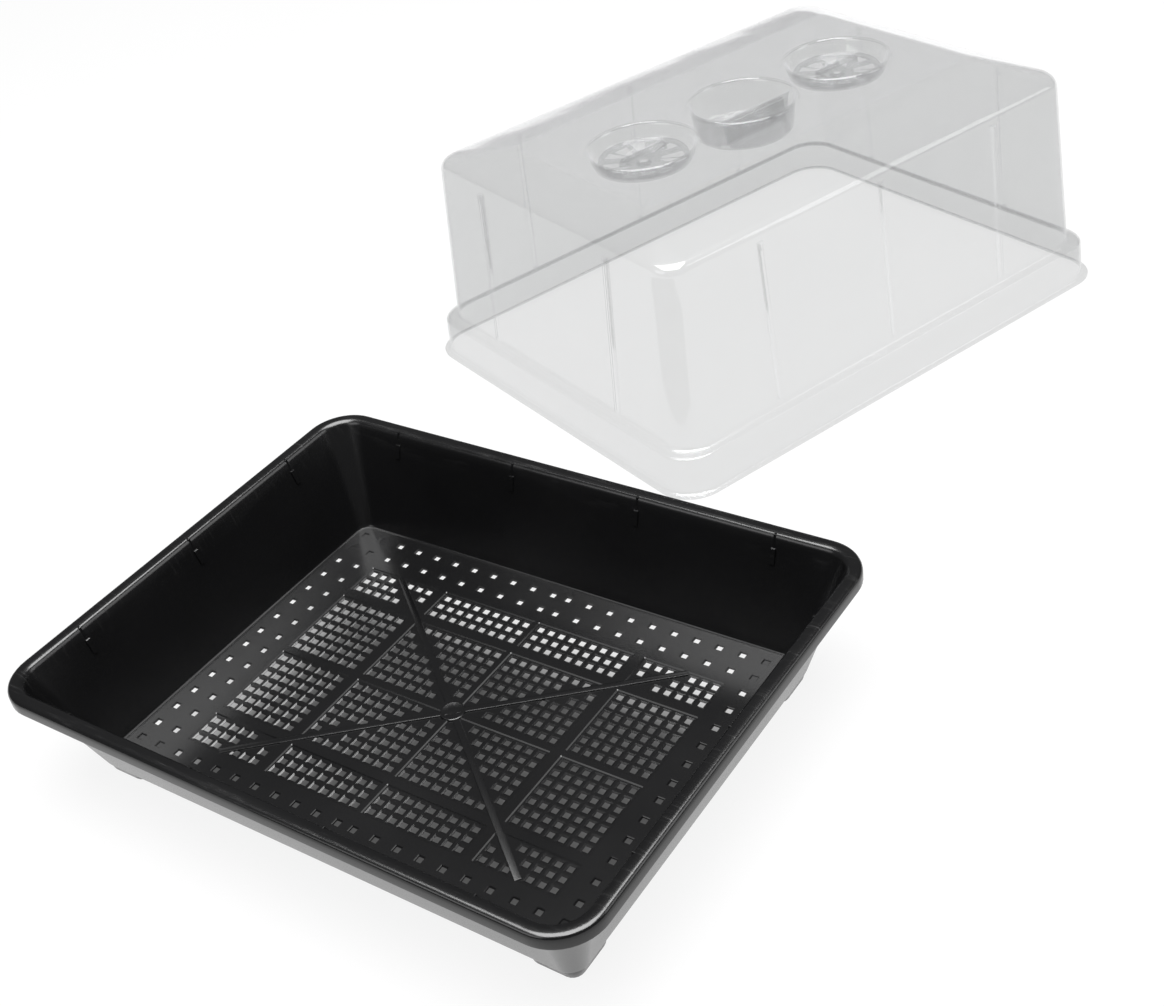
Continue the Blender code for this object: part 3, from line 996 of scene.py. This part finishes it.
def addWeb(made):
    # the folded web across the middle well, hollow from below
    low, top = dome["gripFloor"] - 0.0005, dome["webTop"]
    web = startPiece(
        "grip web", bpy.ops.mesh.primitive_cube_add, (0.0100, 0.0716, top - low), size=1.0,
        location=(dome["webOffset"], 0.0, (low + top) / 2),
    )
    edit(web)
    pick("FACE", lambda face: face.normal.z > 0.9)
    bpy.ops.transform.resize(value=(0.6, 1.0, 1.0), center_override=(dome["webOffset"], 0.0, top))
    pick("EDGE", lambda edge: level(edge, top) and abs(edge.verts[0].co.y - edge.verts[1].co.y) > 0.01)
    bpy.ops.mesh.bevel(offset=0.0018, segments=5, profile=0.5, affect="EDGES")
    bpy.ops.object.mode_set(mode="OBJECT")
    ends = startPiece(
        "grip web ends", bpy.ops.mesh.primitive_cone_add, vertices=dome["wellSides"], radius1=0.0338,
        radius2=0.0366, depth=0.0215, location=(0.0, 0.0, dome["gripFloor"] + 0.0100),
    )
    combine(web, ends, "INTERSECT")
    hollow = startPiece(
        "grip web hollow", bpy.ops.mesh.primitive_cube_add, (0.0078, 0.0500, 0.0222), size=1.0,
        location=(dome["webOffset"], 0.0, top - dome["sheet"] - 0.0111),
    )
    edit(hollow)
    pick("FACE", lambda face: face.normal.z > 0.9)
    bpy.ops.transform.resize(
        value=(0.49, 1.0, 1.0), center_override=(dome["webOffset"], 0.0, top - dome["sheet"])
    )
    bpy.ops.object.mode_set(mode="OBJECT")
    combine(made, web, "UNION")
    combine(made, hollow, "DIFFERENCE")


def setOnDome(piece):
    piece.location = domePlace
    piece.rotation_euler.z = domeTurn
    makeActive(piece)
    bpy.ops.object.transform_apply(location=True, rotation=True, scale=True)


def isRibSide(face):
    # the sloping sides and heads of the pressed ribs
    centre = face.center
    if not 0.032 < centre.z < 0.147 or abs(face.normal.z) > 0.95:
        return False
    half = dome["ribWidth"] / 2 + 0.0002
    for across, places, value in (
        (face.normal.x, dome["longRibs"], centre.y),
        (face.normal.y, dome["shortRibs"], centre.x),
    ):
        if 0.2 < abs(across) < 0.95 and any(abs(value - place) < half for place in places):
            return True
    return False


clearDome = buildDome()
clearDome.data.materials.clear()
for name, share in (("clear dome sheet", "solid"), ("clear dome folds", "fold")):
    clearDome.data.materials.append(
        clearSheet(name, domeFinish[share], domeFinish["roughness"], domeFinish["waveHeight"])
    )
folds = 0
for face in clearDome.data.polygons:
    if isRibSide(face):
        face.material_index = 1
        folds += 1
print("rib sides given the folded finish:", folds)
setOnDome(clearDome)
finishShading(clearDome, 28)
print("dome done:", len(clearDome.data.polygons), "faces")

# Vent discs

vent = {
    "radius": 0.0314,
    "bottom": 0.1583,
    "top": 0.1599,
    "gripSize": (0.0050, 0.0400, 0.0058),
    "solid": 0.018,
    "roughness": 0.07,
    "waveHeight": 0.0008,
}


def buildVent(name, along):
    # a disc with a raised rim and a barbed pin below, turned from one profile, then slotted
    centre = (0.0, along)
    low, high, rim = vent["bottom"], vent["top"], vent["radius"]
    made = startPiece(
        name, bpy.ops.mesh.primitive_circle_add, vertices=dome["wellSides"], radius=0.0060, fill_type="NGON",
        location=(*centre, high + 0.0004),
    )
    edit(made)
    bpy.ops.mesh.select_mode(type="EDGE")
    pick("EDGE", lambda edge: True)
    turnDown(centre, [
        (0.0060, high + 0.0004),
        (0.0066, high + 0.0002),
        (0.0070, high),
        (0.0290, high),
        (0.0296, high + 0.0003),
        (0.0301, high + 0.0009),
        (0.0306, high + 0.0010),
        (0.0312, high + 0.0008),
        (rim, high + 0.0003),
        (rim, low + 0.0003),
        (0.0311, low),
        (0.0036, low),
        (0.0036, 0.1565),
        (0.0050, 0.1563),
        (0.0052, 0.1560),
        (0.0052, 0.1556),
        (0.0030, 0.1533),
        (0.0026, 0.1531),
    ])
    bpy.ops.mesh.edge_face_add()
    faceOutward()
    bpy.ops.object.mode_set(mode="OBJECT")
    cutters = startPiece(
        "vent slot cutters", bpy.ops.mesh.primitive_plane_add, size=0.001, location=(*centre, low - 0.001)
    )
    edit(cutters)
    bpy.ops.mesh.delete(type="VERT")
    for turn in range(6):
        addWedge(centre, low - 0.001, (turn + 0.5) * math.pi / 3)
        bpy.ops.mesh.extrude_region()
        bpy.ops.transform.translate(value=(0.0, 0.0, 0.004))
    faceOutward()
    bpy.ops.object.mode_set(mode="OBJECT")
    combine(made, cutters, "DIFFERENCE")
    gripHeight = vent["gripSize"][2]
    grip = addBlock(
        "vent grip", vent["gripSize"], (*centre, high - 0.0006 + gripHeight / 2), 0.0009, 4,
        topScale=(0.72, 0.92),
    )
    combine(made, grip, "UNION")
    return made


ventMaterial = clearSheet("clear vent moulding", vent["solid"], vent["roughness"], vent["waveHeight"])
vents = {}
for side, step in (("left", -1), ("right", 1)):
    disc = buildVent("vent_turning_disc_" + side, step * wellPitch)
    disc.data.materials.clear()
    disc.data.materials.append(ventMaterial)
    setOnDome(disc)
    finishShading(disc, 30)
    vents[side] = disc
print("vent discs done")

# What each piece rides on and stands for
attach(seedTray, "tray")
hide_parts("tray")
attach(clearDome, "dome")
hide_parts("dome")
for side, disc in vents.items():
    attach(disc, "vent_" + side)
    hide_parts("vent_disc_" + side)

floor = startPiece(
    "studio floor", bpy.ops.mesh.primitive_plane_add, size=studio["floorSide"], location=(0.0, 0.0, -0.0003)
)
floor.data.materials.append(floorPaper())
